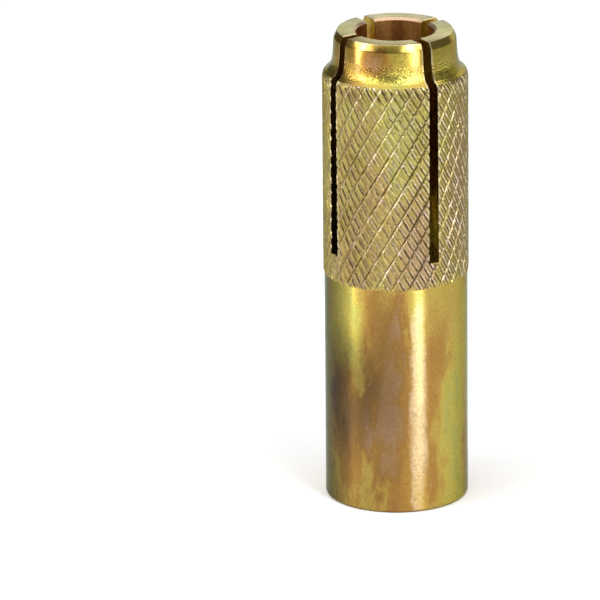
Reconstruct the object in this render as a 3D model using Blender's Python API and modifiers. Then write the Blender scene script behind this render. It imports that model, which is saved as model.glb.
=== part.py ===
"""Drop in anchor for an M12 bolt: a slotted, knurled expansion sleeve with its expander plug inside.

The anchor stands on its threaded mouth. The origin is the middle of the mouth face and +Z points to the
slotted nose. Two slots lie along X and two along Y. All lengths are in metres and all radii are measured
from the Z axis.
"""

import math

import bmesh
import bpy
from mathutils import Matrix

MM = 0.001

# Thread and sleeve
THREAD_DIAMETER = 12.0 * MM
THREAD_PITCH = 1.75 * MM
WALL_OUTSIDE_THREAD = 1.4 * MM
SLEEVE_LENGTH = 50.0 * MM
MOUTH_EDGE_ROUND = 0.35 * MM
MOUTH_COUNTERSINK_MARGIN = 0.2 * MM

# Stepped nose, measured down from the tip face
NOSE_LENGTH = 4.05 * MM
NOSE_STEP_AT_TIP = 1.1 * MM
NOSE_STEP_AT_BASE = 0.95 * MM
RIM_CHAMFER_WIDTH = 0.3 * MM
RIM_CHAMFER_HEIGHT = 0.65 * MM
SHOULDER_FILLET_RADIUS = 1.9 * MM
SHOULDER_FILLET_SWEEP = math.radians(43)
SHOULDER_ROUND_HEIGHT = 0.9 * MM

# Knurled band below the shoulder
KNURL_LENGTH = 20.9 * MM
KNURL_RISE = 0.12 * MM
LEADING_STARTS = 27
KNURL_HELIX_ANGLE = math.radians(31)
LEADING_GROOVE_DEPTH = 0.27 * MM
CROSSING_GROOVE_DEPTH = 0.1 * MM

# Slots, measured down from the tip face
SLOT_WIDTH = 1.1 * MM
SLOT_LENGTH = 22.9 * MM

# Bore beyond the thread: straight at the nose, with a taper between
NOSE_BORE_LENGTH = 13.0 * MM
NOSE_BORE_CHAMFER = 0.25 * MM
TAPER_LENGTH = 8.5 * MM
TAPER_NARROWING = 1.0 * MM

# Expander plug, waiting at the wide end of the taper
PLUG_LENGTH = 11.0 * MM
PLUG_LEAD = 4.5 * MM
PLUG_CHAMFER = 0.4 * MM
PLUG_CLEARANCE = 0.3 * MM

# Facets: a groove and a crest line for each start of the leading grooves, four points along each diamond
RAILS = 2 * LEADING_STARTS
ROWS_PER_RAIL_STEP = 4
BORE_COLUMNS = 48
ARC_STEPS = 3
SHARP_EDGE_ANGLE = math.radians(25)
CUTTER_OVERRUN = 1.0 * MM
SEAM_DISTANCE = 0.005 * MM

# Radii that follow from the driving sizes
SHANK_RADIUS = THREAD_DIAMETER / 2 + WALL_OUTSIDE_THREAD
KNURL_RADIUS = SHANK_RADIUS + KNURL_RISE
NOSE_TIP_RADIUS = SHANK_RADIUS - NOSE_STEP_AT_TIP
NOSE_BASE_RADIUS = SHANK_RADIUS - NOSE_STEP_AT_BASE
TAPPED_BORE_RADIUS = (THREAD_DIAMETER - 1.0825 * THREAD_PITCH) / 2
NOSE_BORE_RADIUS = TAPPED_BORE_RADIUS - TAPER_NARROWING
COUNTERSINK_RADIUS = THREAD_DIAMETER / 2 + MOUTH_COUNTERSINK_MARGIN

# Heights that follow from the driving sizes
SHOULDER_HEIGHT = SLEEVE_LENGTH - NOSE_LENGTH
KNURL_TOP = SHOULDER_HEIGHT - SHOULDER_ROUND_HEIGHT
KNURL_BOTTOM = KNURL_TOP - KNURL_LENGTH
TAPER_TOP = SLEEVE_LENGTH - NOSE_BORE_LENGTH
TAPER_BOTTOM = TAPER_TOP - TAPER_LENGTH

# Rails climb to the right, a quarter of their spacing in each row, and rungs climb to the left across them
RAIL_ANGLE = 2 * math.pi / RAILS
ROW_TURN = RAIL_ANGLE / ROWS_PER_RAIL_STEP
KNURL_ROWS = 2 * round(KNURL_LENGTH * math.tan(KNURL_HELIX_ANGLE) / (KNURL_RADIUS * ROW_TURN) / 2)
ROW_HEIGHT = KNURL_LENGTH / KNURL_ROWS


def clear_scene():
    """Remove every object that the file opened with."""
    for scene_object in list(bpy.data.objects):
        bpy.data.objects.remove(scene_object, do_unlink=True)


def add_collection(name):
    """Make a collection and link it to the scene."""
    collection = bpy.data.collections.new(name)
    bpy.context.scene.collection.children.link(collection)
    return collection


def plated_steel(name, colour, roughness):
    """Make a metal material of the given base colour."""
    material = bpy.data.materials.new(name)
    material.use_nodes = True
    shader = material.node_tree.nodes["Principled BSDF"]
    shader.inputs["Base Color"].default_value = (*colour, 1.0)
    shader.inputs["Metallic"].default_value = 1.0
    shader.inputs["Roughness"].default_value = roughness
    return material


def arc(centre, width, height, start, end):
    """List the points of a round or elliptical arc in the profile plane, both ends included."""
    angles = [start + (end - start) * step / ARC_STEPS for step in range(ARC_STEPS + 1)]
    return [(centre[0] + width * math.cos(a), centre[1] + height * math.sin(a)) for a in angles]


def turned_mesh(name, profile, columns):
    """Turn a profile of (radius, height) points, listed from the top down, about the Z axis."""
    outline = bpy.data.meshes.new(name + "_profile")
    points = [(radius, 0.0, height) for radius, height in profile]
    outline.from_pydata(points, [(i, i + 1) for i in range(len(points) - 1)], [])
    blank = bpy.data.objects.new(name + "_profile", outline)
    bpy.context.scene.collection.objects.link(blank)
    screw = blank.modifiers.new("turn", "SCREW")
    screw.axis = "Z"
    screw.angle = 2 * math.pi
    screw.steps = columns
    screw.render_steps = columns
    screw.use_merge_vertices = True
    screw.merge_threshold = SEAM_DISTANCE
    evaluated = blank.evaluated_get(bpy.context.evaluated_depsgraph_get())
    mesh = bpy.data.meshes.new_from_object(evaluated)
    mesh.name = name
    bpy.data.objects.remove(blank)
    bpy.data.meshes.remove(outline)
    return mesh


def shade_round(mesh):
    """Shade the round faces smooth and keep the flat end faces and the crisp edges sharp."""
    mesh.shade_smooth()
    mesh.set_sharp_from_angle(angle=SHARP_EDGE_ANGLE)
    for face in mesh.polygons:
        if abs(face.normal.z) > 0.999:
            face.use_smooth = False


def add_cutter(name, mesh, collection):
    """Make an object that only cuts others."""
    cutter = bpy.data.objects.new(name, mesh)
    cutter.hide_render = True
    cutter.display_type = "WIRE"
    collection.objects.link(cutter)
    return cutter


def cut(target, cutter):
    """Subtract a cutter from an object."""
    boolean = target.modifiers.new(cutter.name, "BOOLEAN")
    boolean.operation = "DIFFERENCE"
    boolean.solver = "EXACT"
    boolean.object = cutter


def nose_profile():
    """Outline of the stepped nose, from the axis at the tip to the top of the knurl."""
    fillet_centre = (
        NOSE_BASE_RADIUS + SHOULDER_FILLET_RADIUS,
        SHOULDER_HEIGHT + SHOULDER_FILLET_RADIUS * math.sin(SHOULDER_FILLET_SWEEP),
    )
    fillet_end = math.pi + SHOULDER_FILLET_SWEEP
    fillet = arc(fillet_centre, SHOULDER_FILLET_RADIUS, SHOULDER_FILLET_RADIUS, math.pi, fillet_end)
    foot_radius = fillet[-1][0]
    round_width = KNURL_RADIUS - foot_radius
    shoulder_round = arc((foot_radius, KNURL_TOP), round_width, SHOULDER_ROUND_HEIGHT, math.pi / 2, 0.0)
    return [
        (0.0, SLEEVE_LENGTH),
        (NOSE_TIP_RADIUS - RIM_CHAMFER_WIDTH, SLEEVE_LENGTH),
        (NOSE_TIP_RADIUS, SLEEVE_LENGTH - RIM_CHAMFER_HEIGHT),
        *fillet,
        *shoulder_round[1:],
    ]


def shank_profile():
    """Outline of the plain shank, from the bottom of the knurl to the axis at the mouth."""
    round_centre = (SHANK_RADIUS - MOUTH_EDGE_ROUND, MOUTH_EDGE_ROUND)
    mouth_round = arc(round_centre, MOUTH_EDGE_ROUND, MOUTH_EDGE_ROUND, 0.0, -math.pi / 2)
    return [(SHANK_RADIUS, KNURL_BOTTOM), *mouth_round, (0.0, 0.0)]


def knurl_radius_at(rail, row):
    """Radius of a knurl point: every second rail and every second rung lies at the bottom of a groove."""
    if row == 0:
        return SHANK_RADIUS
    if row == KNURL_ROWS:
        return KNURL_RADIUS
    leading_depth = LEADING_GROOVE_DEPTH if rail % 2 == 0 else 0.0
    crossing_depth = CROSSING_GROOVE_DEPTH if row % 2 == 0 else 0.0
    return KNURL_RADIUS - leading_depth - crossing_depth


def add_knurl(skin):
    """Add the diamond band, whose faces follow its rails and rungs so that both sets of grooves are crisp."""
    rails = []
    for rail in range(RAILS):
        points = []
        for row in range(KNURL_ROWS + 1):
            radius = knurl_radius_at(rail, row)
            angle = rail * RAIL_ANGLE + row * ROW_TURN
            height = KNURL_BOTTOM + row * ROW_HEIGHT
            points.append(skin.verts.new((radius * math.cos(angle), radius * math.sin(angle), height)))
        rails.append(points)
    rung_drop = ROWS_PER_RAIL_STEP // 2
    for rail, left in enumerate(rails):
        right = rails[(rail + 1) % RAILS]
        for row in range(KNURL_ROWS + rung_drop):
            corners = [
                left[min(row, KNURL_ROWS)],
                right[max(row - rung_drop, 0)],
                right[max(row + 1 - rung_drop, 0)],
                left[min(row + 1, KNURL_ROWS)],
            ]
            skin.faces.new(dict.fromkeys(corners))


def sleeve_blank():
    """The solid sleeve before it is bored and slotted: a turned nose and shank with the knurl between."""
    nose = turned_mesh("nose", nose_profile(), RAILS)
    nose.transform(Matrix.Rotation(KNURL_ROWS * ROW_TURN, 4, "Z"))
    shank = turned_mesh("shank", shank_profile(), RAILS)
    skin = bmesh.new()
    skin.from_mesh(nose)
    skin.from_mesh(shank)
    add_knurl(skin)
    bmesh.ops.remove_doubles(skin, verts=skin.verts, dist=SEAM_DISTANCE)
    warped = [face for face in skin.faces if KNURL_BOTTOM < face.calc_center_median().z < KNURL_TOP]
    bmesh.ops.triangulate(skin, faces=warped, quad_method="SHORT_EDGE")
    mesh = bpy.data.meshes.new("anchor_sleeve")
    skin.to_mesh(mesh)
    skin.free()
    bpy.data.meshes.remove(nose)
    bpy.data.meshes.remove(shank)
    return mesh


def bore_radius_at(height):
    """Radius of the bore at a height inside its taper."""
    return TAPPED_BORE_RADIUS - TAPER_NARROWING * (height - TAPER_BOTTOM) / TAPER_LENGTH


def bore_profile():
    """Outline of what the bore removes, running past both end faces."""
    top = SLEEVE_LENGTH + CUTTER_OVERRUN
    return [
        (0.0, top),
        (NOSE_BORE_RADIUS + NOSE_BORE_CHAMFER + CUTTER_OVERRUN, top),
        (NOSE_BORE_RADIUS, SLEEVE_LENGTH - NOSE_BORE_CHAMFER),
        (NOSE_BORE_RADIUS, TAPER_TOP),
        (TAPPED_BORE_RADIUS, TAPER_BOTTOM),
        (TAPPED_BORE_RADIUS, COUNTERSINK_RADIUS - TAPPED_BORE_RADIUS),
        (COUNTERSINK_RADIUS + CUTTER_OVERRUN, -CUTTER_OVERRUN),
        (0.0, -CUTTER_OVERRUN),
    ]


def slot_cutter_mesh(name, turn):
    """A flat blade across the whole nose, which cuts two opposite slots."""
    height = SLOT_LENGTH + CUTTER_OVERRUN
    span = 2 * (KNURL_RADIUS + CUTTER_OVERRUN)
    centre = SLEEVE_LENGTH - SLOT_LENGTH + height / 2
    blade = bmesh.new()
    placing = Matrix.Rotation(turn, 4, "Z") @ Matrix.Translation((0.0, 0.0, centre))
    bmesh.ops.create_cube(blade, size=1.0, matrix=placing @ Matrix.Diagonal((span, SLOT_WIDTH, height, 1.0)))
    mesh = bpy.data.meshes.new(name)
    blade.to_mesh(mesh)
    blade.free()
    return mesh


def make_sleeve(parts, cutters):
    """The expansion sleeve: turned, knurled, bored and slotted."""
    mesh = sleeve_blank()
    shade_round(mesh)
    mesh.materials.append(plated_steel("yellow_chromate", (0.64, 0.50, 0.21), 0.28))
    sleeve = bpy.data.objects.new("anchor_sleeve", mesh)
    parts.objects.link(sleeve)

    bore_mesh = turned_mesh("bore_cutter", bore_profile(), BORE_COLUMNS)
    shade_round(bore_mesh)
    cut(sleeve, add_cutter("bore_cutter", bore_mesh, cutters))
    for name, turn in (("slots_along_x_cutter", 0.0), ("slots_along_y_cutter", math.pi / 2)):
        cut(sleeve, add_cutter(name, slot_cutter_mesh(name, turn), cutters))


def plug_profile():
    """Outline of the expander plug, whose cone runs parallel to the bore's taper."""
    top = TAPER_BOTTOM + PLUG_LEAD
    bottom = top - PLUG_LENGTH
    body_radius = TAPPED_BORE_RADIUS - PLUG_CLEARANCE
    lead_radius = bore_radius_at(top - PLUG_CHAMFER) - PLUG_CLEARANCE
    return [
        (0.0, top),
        (lead_radius - PLUG_CHAMFER, top),
        (lead_radius, top - PLUG_CHAMFER),
        (body_radius, TAPER_BOTTOM),
        (body_radius, bottom + PLUG_CHAMFER),
        (body_radius - PLUG_CHAMFER, bottom),
        (0.0, bottom),
    ]


def make_plug(parts):
    """The expander plug that is driven toward the nose to spread the slotted sleeve."""
    mesh = turned_mesh("expander_plug", plug_profile(), BORE_COLUMNS)
    shade_round(mesh)
    mesh.materials.append(plated_steel("plain_zinc", (0.62, 0.62, 0.60), 0.35))
    parts.objects.link(bpy.data.objects.new("expander_plug", mesh))


def main():
    clear_scene()
    parts = add_collection("drop_in_anchor")
    cutters = add_collection("cutters")
    make_sleeve(parts, cutters)
    make_plug(parts)


main()
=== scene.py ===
"""Looks of the drop in anchor: yellow chromate steel with a rolled diamond knurl, seen from the photo's side.

Sizes are in millimetres, and MM turns them into metres. Radii are measured from the Z axis and heights from
the mouth face, as in the frame.
"""

import math

import bpy
import numpy as np
from mathutils import Matrix, Vector


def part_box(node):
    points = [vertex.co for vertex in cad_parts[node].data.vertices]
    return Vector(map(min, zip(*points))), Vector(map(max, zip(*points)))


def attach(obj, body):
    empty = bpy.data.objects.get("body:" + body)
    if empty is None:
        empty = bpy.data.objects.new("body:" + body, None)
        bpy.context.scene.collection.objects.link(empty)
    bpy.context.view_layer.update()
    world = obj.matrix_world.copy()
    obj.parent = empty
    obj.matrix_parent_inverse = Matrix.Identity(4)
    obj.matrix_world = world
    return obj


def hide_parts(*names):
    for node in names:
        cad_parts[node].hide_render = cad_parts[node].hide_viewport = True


MM = 0.001

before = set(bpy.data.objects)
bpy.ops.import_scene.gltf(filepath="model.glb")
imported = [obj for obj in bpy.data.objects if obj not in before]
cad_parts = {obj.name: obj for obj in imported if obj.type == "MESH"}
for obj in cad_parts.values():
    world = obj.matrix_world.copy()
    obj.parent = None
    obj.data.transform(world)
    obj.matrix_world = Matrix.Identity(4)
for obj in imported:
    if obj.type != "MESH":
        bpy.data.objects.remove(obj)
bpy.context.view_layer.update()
sleeve_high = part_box("anchor_sleeve")[1]
plug_low, plug_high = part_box("expander_plug")

# Outline of the sleeve
LENGTH = sleeve_high.z / MM
SHANK_RADIUS = 7.4
CREST_RADIUS = 7.52
NOSE_TIP_RADIUS = 6.3
NOSE_WAIST = (6.39, LENGTH - 2.2)
NOSE_WALL_ROW = 3
RIM_CHAMFER_WIDTH = 0.36
RIM_CHAMFER_HEIGHT = 0.72
FILLET_RADIUS = 2.1
FILLET_START = math.radians(7)
FILLET_SWEEP = math.radians(36)
FILLET_STEPS = 8
CORNER_RADIUS = 0.45
CORNER_STEPS = 6
SHOULDER_SWEEP = math.radians(60)
SHOULDER_SLOPE = 0.2
SHOULDER_FOOT = LENGTH - 4.95
SHOULDER_WIDTH = 0.5
SHOULDER_RISE = 0.82
SHOULDER_ARC_END = math.radians(60)
SHOULDER_STEPS = 2
MOUTH_ROUND = 0.35
MOUTH_STEPS = 6
RINGS_BELOW_KNURL = (0.06, 0.2)
EDGE_BREAK = 0.06

# Knurl: leading grooves climb to the right, crossing grooves to the left, and a fine line runs between those
KNURL_TOP = SHOULDER_FOOT + 0.7
KNURL_BOTTOM = SHOULDER_FOOT - 20.9
KNURL_HELIX = math.radians(31)
LEADING_STARTS = 27
COLUMNS_PER_START = 12
COLUMNS_PER_CROSSING = 6
COLUMNS = LEADING_STARTS * COLUMNS_PER_START
COLUMN_ANGLE = 2 * math.pi / COLUMNS
LEADING_DEPTH = 0.17
LEADING_HALF_WIDTH = 1.4
CROSSING_DEPTH = 0.12
CROSSING_HALF_WIDTH = 1.4
FINE_DEPTH = 0.05
FINE_HALF_WIDTH = 1.2
BURR = 0.007
KNURL_LENGTH = KNURL_TOP - KNURL_BOTTOM
ROW_TURN = COLUMN_ANGLE / 2
ROWS = round(KNURL_LENGTH * math.tan(KNURL_HELIX) / (CREST_RADIUS * ROW_TURN))

# How the knurl varies: leading grooves deepen and fine lines fade down this stretch from the top, crossing
# grooves are deeper in the crown at the top, and both ends are ragged
DEEPENING_STRETCH = 8
LEADING_SHARE_AT_TOP = 0.6
FINE_SHARE_LOST = 0.3
CROWN_HEIGHT = 1.8
CROWN_FADE = 0.8
CROWN_EXTRA = 0.6
GROOVE_VARIATION = 0.4
FINE_VARIATION = 0.6
RAGGED_ENDS = 0.45
TOP_FADE = 0.25
BOTTOM_FADE = 0.16

# Waves of that variation: turns round the axis, radians for each millimetre of height, and the seed of their
# phases
LEADING_WAVES = ((3, 0.5), (7, -0.9), (12, 1.7))
LEADING_SEED = 1
CROSSING_WAVES = ((2, 0.4), (5, 0.7), (9, -1.1))
CROSSING_SEED = 3
END_WAVES = ((27, 0), (41, 0), (11, 0))
END_SEED = 2
BURR_SEED = 4

# Bore, thread and slots
SLOT_WIDTH_AT_TIP = 0.98
SLOT_WIDTH_AT_END = 1.16
SLOT_DEPTHS = (22.95, 23.15)
SLOT_OFFSETS = (0.4, 0.3)
SLOT_TURNS = (math.radians(3.3), math.radians(92.3))
SLOT_EDGE_BREAK = 0.07
SLOT_SHOULDER_STEPS = 4
THREAD_RADIUS = 6.0
THREAD_PITCH = 1.75
THREAD_DEPTH = 0.54127 * THREAD_PITCH
THREAD_LENGTH = 20.0
THREAD_RUNOUT = 2.6
THREAD_OVERLAP = 0.03
THREAD_FIRST_PITCH = -2
TAPPED_BORE_RADIUS = THREAD_RADIUS - THREAD_DEPTH
TAPER_NARROWING = 1.0
TAPER_LENGTH = 8.5
NOSE_BORE_RADIUS = TAPPED_BORE_RADIUS - TAPER_NARROWING
TAPER_TOP = LENGTH - 13.0
TAPER_BOTTOM = TAPER_TOP - TAPER_LENGTH
COUNTERSINK_RADIUS = THREAD_RADIUS + 0.2
BORE_CHAMFER = 0.25
BORE_COLUMNS = 96
OVERRUN = 1.0

# One pitch of the thread: shares of the pitch, and of its depth there
THREAD_SHAPE = ((0.0, 1.0), (1 / 8, 1.0), (7 / 16, 0.0), (11 / 16, 0.0))

# Expander plug, with a centre drill's mark in its top and a smaller one below
PLUG_CHAMFER = 0.4
PLUG_LEAD_BREAK = 0.1
PLUG_BEND = (0.1, 0.3)
PLUG_FOOT_BREAK = 0.04
TOP_MARK_RADIUS = 1.25
TOP_MARK_BREAK = (1.1, 0.12)
TOP_MARK_POINT = (0.08, 1.1)
BOTTOM_MARK_RADIUS = 0.3
BOTTOM_MARK_POINT = (0.06, 0.24)

# Edges sharper than this, in degrees, stay sharp
SHARP_ANGLE = 28

# Camera: the object's middle lies at this pixel of the 600 by 600 frame
IMAGE_SIZE = 600
MIDDLE_PIXEL = (396.3, 262.0)
PIXELS_PER_MM = 9.68
CAMERA_AZIMUTH = math.radians(-31.0)
CAMERA_ELEVATION = math.radians(18.4)
CAMERA_DISTANCE = 800.0
CAMERA_ROLL = math.radians(0.5)
CAMERA_SIDE = CAMERA_AZIMUTH - math.pi / 2
CAMERA_CLIP = (0.01, 10.0)
SENSOR_WIDTH = 36.0

# Studio: a white floor, a grey room with a white backdrop, and soft lights
FLOOR_WIDTH = 700.0
FLOOR_GAP = 0.02
ROOM_GREY = 0.165
BACKDROP_WHITE = 1.35
BACKDROP_TURN = math.radians(15)
BACKDROP_EDGE = (0.76, 0.90)

# Soft lights: degrees from the camera's azimuth, elevation, distance, width and height in metres, radiance,
# and lean in degrees
SOFTBOXES = {
    "left_softbox": (-68, 18, 0.5, 0.085, 0.50, 10.0, -12),
    "left_upper_softbox": (-66, 27, 0.5, 0.34, 0.07, 7.0, 0),
    "right_softbox": (34, 18, 0.5, 0.11, 0.50, 9.0, 10),
    "right_upper_softbox": (34, 33, 0.5, 0.30, 0.07, 7.0, 0),
    "top_softbox": (0, 80, 0.9, 1.8, 1.4, 1.7, 0),
}

# Chromate finishes: roughness, anisotropy and height of the grain in millimetres
FINISHES = {
    "turned": (0.28, 0.9, 0.002),
    "knurled": (0.46, 0.0, 0.002),
    "formed": (0.22, 0.3, 0.0008),
}

# Colours that the film goes through as it thickens, on turned and on knurled faces
TURNED_FILM = [
    (0.0, (0.36, 0.34, 0.075)),
    (0.2, (0.46, 0.37, 0.065)),
    (0.38, (0.45, 0.31, 0.06)),
    (0.52, (0.36, 0.195, 0.035)),
    (0.66, (0.325, 0.165, 0.035)),
    (0.86, (0.375, 0.21, 0.085)),
    (1.0, (0.405, 0.235, 0.125)),
]
KNURLED_FILM = [
    (0.0, (0.30, 0.285, 0.075)),
    (0.3, (0.345, 0.285, 0.068)),
    (0.5, (0.345, 0.245, 0.07)),
    (0.75, (0.345, 0.225, 0.105)),
    (1.0, (0.345, 0.25, 0.17)),
]

# Spots on the film: the middle's degrees from the camera's side and its height, and the reach in both. A
# third value says how much thicker the film is in a stain, and how much darker a spot of painted shade is;
# below 0 a stain's film is thinner and a spot is painted light instead
TURNED_STAINS = [
    ((-48, 21), (18, 7), -0.24),
    ((-35, 21), (9, 9), -0.14),
    ((-13, 15), (20, 15), 0.3),
    ((-44, 8), (28, 9), 0.34),
    ((8, 7), (28, 17), 0.27),
    ((3, 22), (7, 3), 0.2),
    ((17, 22), (7, 12), -0.2),
    ((34, 15), (9, 9), 0.08),
    ((52, 7), (17, 10), -0.3),
    ((-19, 48.3), (15, 1.7), 0.5),
    ((-2, 46.4), (30, 0.9), -0.18),
    ((52, 47.5), (20, 4), -0.2),
    ((155, 15), (30, 16), 0.3),
    ((-135, 9), (34, 14), 0.3),
    ((-172, 20), (16, 9), -0.25),
    ((-112, 19), (14, 9), -0.22),
    ((120, 7), (26, 11), 0.3),
    ((100, 20), (16, 12), -0.25),
    ((-165, 47.5), (26, 3), 0.3),
]
KNURLED_STAINS = [
    ((5, 40), (60, 7), -0.15),
    ((0, 26), (75, 9), 0.12),
    ((18, 29), (18, 7), 0.33),
    ((-16, 36), (13, 4), 0.3),
    ((60, 36), (22, 9), 0.22),
]
# Painted shade on the shank's left and front; painted light on the nose where the value is below 0
PAINTED_SHADE_AND_LIGHT_SPOTS = [
    ((-71, 16), (31, 28), 0.58),
    ((-44, 13), (32, 8), 0.6),
    ((-9, 16), (24, 9), 0.22),
    ((-48, 2), (30, 8), 0.3),
    ((-14, 9), (24, 11), 0.25),
    ((-4, 48.4), (24, 1.7), -0.35),
    ((-3, 46.7), (34, 0.8), -0.45),
    ((48, 46.2), (20, 1.3), -0.35),
]

# Single spots: where the knurl is in painted shade, where its grooves are deeper in painted shade, where
# the nose wall has more dark specks and blotches, and where the shank is worn pale
KNURL_SHADE_SPOT = ((70, 34), (36, 26))
SHADED_SPOT = ((24, 34), (20, 16))
FRONT_SPECK_SPOT = ((-3, 46.7), (30, 1.3))
WORN_SPOT = ((17, 11), (8, 15))

# Colours of dirt and wear on the sleeve, and of the painted shade and painted highlights on its knurl
# and along its slots
SOOT = (0.07, 0.055, 0.02)
GROOVE_SHADE = (0.07, 0.045, 0.018)
SMEARED_FILM = (0.46, 0.34, 0.09)
RUBBED_FACE = (0.81, 0.69, 0.40)
WORN_FILM = (0.74, 0.62, 0.40)
SCRATCH = (0.80, 0.70, 0.48)
HIGHLIGHT_CREAM = (0.80, 0.68, 0.40)
HIGHLIGHT_PINK = (0.86, 0.70, 0.60)
SLOT_EDGE_WEAR_AND_HIGHLIGHT = (0.66, 0.54, 0.34)
GRAZING_TINT = (0.28, 0.34, 0.26)

# Colours of the slots' edges, the bore, the plug and the floor
EDGE_COLOURS = ((0.46, 0.37, 0.18), (0.66, 0.57, 0.36))
EDGE_IN_KNURL = (0.16, 0.12, 0.05)
# The bore's brown is a painted reflection of its yellow walls in each other
BORE_COLOURS = ((0.42, 0.19, 0.05), (0.54, 0.27, 0.08))
BORE_RING = (0.50, 0.30, 0.11)
# Pale pink of the painted highlight on the bore's rim
BORE_RIM_HIGHLIGHT = (0.52, 0.36, 0.23)
ZINC_COLOURS = ((0.52, 0.52, 0.50), (0.66, 0.66, 0.65))
ZINC_EDGE = (0.80, 0.80, 0.78)
FLOOR_COLOURS = ((0.86, 0.86, 0.86), (0.88, 0.88, 0.88))

# Noise fields: stretch along each axis, scale for each millimetre, detail and roughness
GRAIN = ((1.0, 1.0, 1.0), 3.2, 6.0, 0.65)
STREAKS = ((0.5, 0.5, 7.0), 1.6, 4.0, 0.6)
BROAD_CLOUDS = ((1.0, 1.0, 0.4), 0.22, 2.0, 0.5)
CLOUDS = ((1.0, 1.0, 0.45), 0.75, 3.0, 0.55)
SPECK_FIELD = ((1.0, 1.0, 0.8), 5.5, 2.0, 0.5)
SCRATCH_FIELD = ((5.0, 5.0, 0.7), 1.8, 2.0, 0.5)
KNURL_PATCHES = ((1.0, 1.0, 0.8), 1.15, 2.0, 0.6)
BORE_GRAIN = ((1.0, 1.0, 1.0), 2.6, 5.0, 0.6)
DRILL_RINGS = ((0.3, 0.3, 8.0), 1.4, 3.0, 0.5)
EDGE_GRAIN = ((1.0, 1.0, 0.5), 3.0, 4.0, 0.6)
ZINC_CLOUDS = ((1.0, 1.0, 1.0), 0.9, 4.0, 0.6)
ZINC_GRAIN = ((1.0, 1.0, 1.0), 6.0, 3.0, 0.5)
TURNING_RINGS = ((0.2, 0.2, 6.0), 1.5, 3.0, 0.5)
FLOOR_TOOTH = ((1.0, 1.0, 1.0), 0.4, 2.0, 0.5)

# Lines of the knurl's marks, dark ones of painted shade and pale ones of painted highlight: the middle and
# the reach, in shares of the space between two grooves of a family
LEADING_DARK = (-0.04, 0.085)
LEADING_PALE = (0.055, 0.085)
CROSSING_DARK = (-0.085, 0.15)
CROSSING_PALE = (0.09, 0.15)
FINE_DARK = (-0.17, 0.28)
FINE_PALE = (0.16, 0.24)
LEADING_DRIFT = 0.04
CROSSING_DRIFT = 0.12

# Lines along the slots, rubbed burr with a painted highlight: where they start and end, and their reach
# and strength by the finish
SLOT_LINE_START = (0.02, 0.06)
SLOT_LINE_END = (LENGTH - SLOT_DEPTHS[0], LENGTH - 22.5)
TURNED_BURR_AND_HIGHLIGHT = (0.15, 0.8)
KNURLED_BURR_AND_HIGHLIGHT = (0.24, 0.5)
BURR_AND_HIGHLIGHT_WEAKEST = 0.6
LINE_CORE = 0.25
SLOT_LINE_CORE = 0.5

# Smooth steps of the masks: where each one starts and ends, and the values there when they aren't 0 and 1
STAIN_STEP = (0.0, 1.2, 1.0, 0.0)
TOOTH_PATCHES = (0.38, 0.56, 0.25, 1.1)
CROWN_PATCHES = (0.3, 0.5, 0.5, 1.3)
TOOTH_AT_LEADING = (0.08, 0.2, 0.3, 1.1)
TOOTH_PALENESS = (0.2, 0.7, 0.15, 1.1)
LEADING_DARK_PATCHES = (0.3, 0.6, 0.75, 0.45)
LEADING_PALE_PATCHES = (0.35, 0.6, 0.15, 0.95)
UPPER_STEP = (35.0, 40.0)
UPPER_STRENGTH = (0.0, 1.0, 1.0, 0.6)
CROWN_STEP = (KNURL_TOP - 2.0, KNURL_TOP - 0.8)
SMEARED_STEP = (KNURL_BOTTOM + 1.0, KNURL_BOTTOM + 1.5, 1.0, 0.0)
PINK_STEP = (0.45, 0.6)
HIGHLIGHT_BREAKUP_STEP = (0.3, 0.6)
BURR_AND_HIGHLIGHT_STEP = (0.3, 0.55)
SPECK_STEP = (0.73, 0.79)
SOOT_STEP = (0.52, 0.6)
SCRATCH_STEP = (0.64, 0.72)
WORN_STEP = (0.3, 0.6, 0.28, 0.52)
RUBBED_FACE_STEP = (LENGTH - 0.09, LENGTH - 0.02)
RUBBED_FACE_PATCHES = (0.35, 0.6, 0.6, 0.9)
PITTED_LOW = LENGTH - 4.1
PITTED_HIGH = LENGTH - 2.2
PITTED_START = (PITTED_LOW, PITTED_LOW + 0.4)
PITTED_END = (PITTED_HIGH - 0.1, PITTED_HIGH, 1.0, 0.0)
CLEANER_NOSE = (PITTED_LOW, PITTED_LOW + 0.4, 0.0, -0.2)
BORE_RIM_STEP = (LENGTH - 1.2 * BORE_CHAMFER, LENGTH - 0.9 * BORE_CHAMFER)
NOSE_EDGE_STEP = (KNURL_TOP - 1.5, KNURL_TOP, 0.35, 1.0)
CLOUD_STEP = (0.35, 0.65)
RING_STEP = (0.5, 0.7)
SHARP_EDGE_STEP = (0.53, 0.6)

# Fields scaled and shifted: the factor, and what is added
STAIN_WARP = (2.4, -1.2)
GRAIN_TONE = (0.5, 0.75)
SPECK_CLUSTERS = (0.5, -0.29)
SCRATCH_SHARES = (0.35, 0.1)
KNURL_DRIFT = (2.0, -1.0)

# Thickness that the film starts from, and the share of the clouds in it
TURNED_THICKNESS = (-0.08, 0.25)
KNURLED_THICKNESS = (-0.28, 0.7)
BROAD_SHARE = 0.6

# Strengths of dirt, wear, painted shade and painted highlights, and how much a field adds or takes away
PAINTED_SHADE_WARP = 0.25
KNURL_SHADE_SHARE = 0.3
PITTED_SPECKS = 0.2
FRONT_SPECK_SHARE = 0.2
SPECK_SHARE = 0.75
FINE_DARK_SHARE = 0.45
FINE_PALE_SHARE = 0.35
SHADED_EXTRA = 0.7
SHADED_LOSS = 0.75
DARK_STRENGTH = 0.9
DARK_SHARE = 0.9
PALE_SHARE = 0.78
SMEARED_SHARE = 0.7
SMEARED_LOSS = 0.8
SMEARED_PATCHES = 1.8
SMEARED_GROOVES = 0.5

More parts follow.
